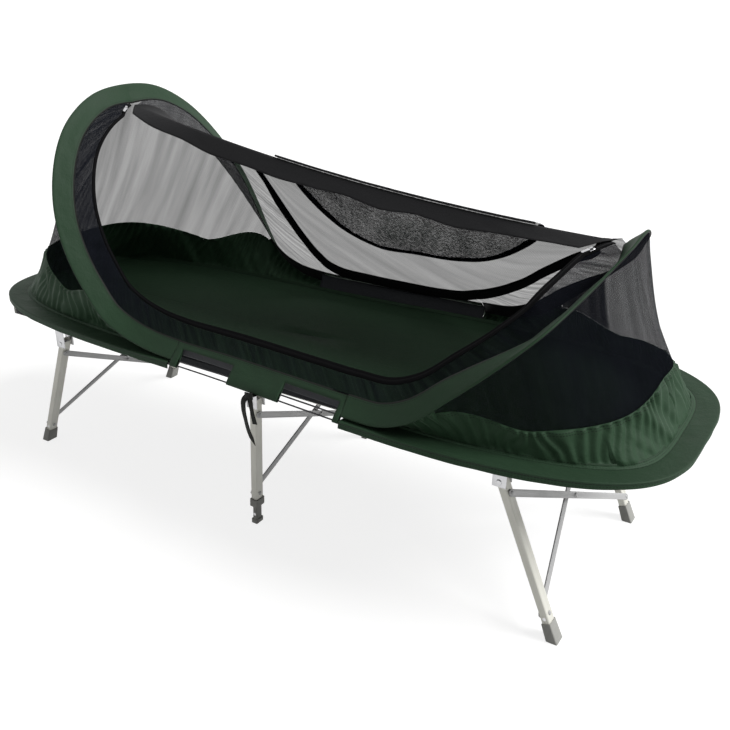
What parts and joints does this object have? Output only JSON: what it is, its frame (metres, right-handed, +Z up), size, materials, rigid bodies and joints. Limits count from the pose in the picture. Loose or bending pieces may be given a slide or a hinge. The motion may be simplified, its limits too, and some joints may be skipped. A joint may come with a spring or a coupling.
{
  "type": "mosquito net tent on a folding camp bed",
  "caption": "Low pop-up net tent on a narrow folding camp bed: arched hoop, ridge strip, net walls over a cloth tub, zipped doors, splayed legs that fold",
  "frame": {"origin": "On the floor below the middle of the part's bounding box", "axes": "+X runs along the bed to the foot end, -Y is the side with the open door, +Z is up"},
  "size_m": [2.2182, 0.8266, 1.1322],
  "materials": {
    "hoop_steel": "dark spring steel wire",
    "green_cloth": "ripstop tent cloth, dark green",
    "dark_cloth": "dark grey woven cloth",
    "net": "fine black mosquito netting, see-through",
    "zip_tape": "black woven zip tape with coil",
    "rail_metal": "satin aluminium tube",
    "leg_metal": "satin aluminium tube",
    "bright_metal": "bright plated metal",
    "bracket_metal": "zinc plated steel",
    "grey_plastic": "light grey moulded plastic"
  },
  "bodies": {
    "bed_and_tent": {"arch_hoop": "hoop_steel", "arch_sleeve_foot": "green_cloth", "arch_sleeve_head": "green_cloth", "back_door": "net", "base_hoop": "hoop_steel", "base_sleeve_foot": "green_cloth", "base_sleeve_head": "green_cloth", "bed_fabric": "dark_cloth", "border_net_far": "net", "border_net_near": "net", "bracket_foot_far": "bracket_metal", "bracket_foot_near": "bracket_metal", "bracket_head_far": "bracket_metal", "bracket_head_near": "bracket_metal", "bracket_middle_far": "bracket_metal", "bracket_middle_near": "bracket_metal", "end_bar_foot": "grey_plastic", "end_bar_head": "grey_plastic", "foot_net": "net", "foot_tub": "green_cloth", "head_net": "net", "head_tub": "green_cloth", "rail_far": "rail_metal", "rail_near": "rail_metal", "ridge_strip": "dark_cloth", "side_gusset_far": "dark_cloth", "side_gusset_near": "dark_cloth", "side_sleeve_far": "green_cloth", "side_sleeve_near": "green_cloth", "tent_floor": "dark_cloth", "tie_strap_far": "dark_cloth", "tie_strap_near": "dark_cloth", "zip_far": "zip_tape", "zip_near": "zip_tape"},
    "legs_head": {"head_leg_near": "leg_metal", "head_leg_far": "leg_metal", "head_brace_a": "leg_metal", "head_brace_b": "leg_metal", "head_foot_near": "grey_plastic", "head_foot_far": "grey_plastic"},
    "legs_middle": {"middle_leg_near": "leg_metal", "middle_leg_far": "leg_metal", "middle_brace_a": "leg_metal", "middle_brace_b": "leg_metal", "middle_foot_near": "grey_plastic", "middle_foot_far": "grey_plastic"},
    "legs_foot": {"foot_leg_near": "leg_metal", "foot_leg_far": "leg_metal", "foot_brace_a": "leg_metal", "foot_brace_b": "leg_metal", "foot_foot_near": "grey_plastic", "foot_foot_far": "grey_plastic"},
    "front_door": {"front_door": "net"},
    "slider_near_head": {"slider_near_head": "bright_metal"},
    "pull_near_head": {"pull_near_head": "bright_metal"},
    "slider_near_foot": {"slider_near_foot": "bright_metal"},
    "pull_near_foot": {"pull_near_foot": "bright_metal"},
    "slider_far_foot": {"slider_far_foot": "bright_metal"},
    "pull_far_foot": {"pull_far_foot": "bright_metal"}
  },
  "joints": [
    {"name": "fold_head_legs", "type": "hinge", "parent": "bed_and_tent", "child": "legs_head", "pos_m": [-0.735, 0, 0.39], "axis": [0, -1, 0], "range_deg": [0, 112.4]},
    {"name": "fold_middle_legs", "type": "hinge", "parent": "bed_and_tent", "child": "legs_middle", "pos_m": [0.02, 0, 0.39], "axis": [0, -1, 0], "range_deg": [0, 92.9]},
    {"name": "fold_foot_legs", "type": "hinge", "parent": "bed_and_tent", "child": "legs_foot", "pos_m": [0.735, 0, 0.39], "axis": [0, 1, 0], "range_deg": [0, 105]},
    {"name": "throw_front_door", "type": "hinge", "parent": "bed_and_tent", "child": "front_door", "pos_m": [-0.12, 0, 0.98128], "axis": [0.995, 0, -0.1], "range_deg": [0, 230]},
    {"name": "slide_near_head", "type": "slide", "parent": "bed_and_tent", "child": "slider_near_head", "axis": [0.4338, -0.8339, -0.3413], "range_m": [0, 0.03]},
    {"name": "flip_pull_near_head", "type": "hinge", "parent": "slider_near_head", "child": "pull_near_head", "pos_m": [-0.60482, -0.05458, 1.07604], "axis": [-0.7456, -0.5449, 0.3836], "range_deg": [0, 170]},
    {"name": "slide_near_foot", "type": "slide", "parent": "bed_and_tent", "child": "slider_near_foot", "axis": [-0.645, -0.6992, -0.3085], "range_m": [0, 0.03]},
    {"name": "flip_pull_near_foot", "type": "hinge", "parent": "slider_near_foot", "child": "pull_near_foot", "pos_m": [0.80578, -0.05097, 0.88179], "axis": [-0.7629, 0.6127, 0.2064], "range_deg": [0, 170]},
    {"name": "slide_far_foot", "type": "slide", "parent": "bed_and_tent", "child": "slider_far_foot", "axis": [-0.3064, 0.8726, -0.3804], "range_m": [0, 0.03]},
    {"name": "flip_pull_far_foot", "type": "hinge", "parent": "slider_far_foot", "child": "pull_far_foot", "pos_m": [0.76516, 0.14405, 0.83936], "axis": [0.9518, 0.2765, -0.1324], "range_deg": [0, 170]}
  ]
}
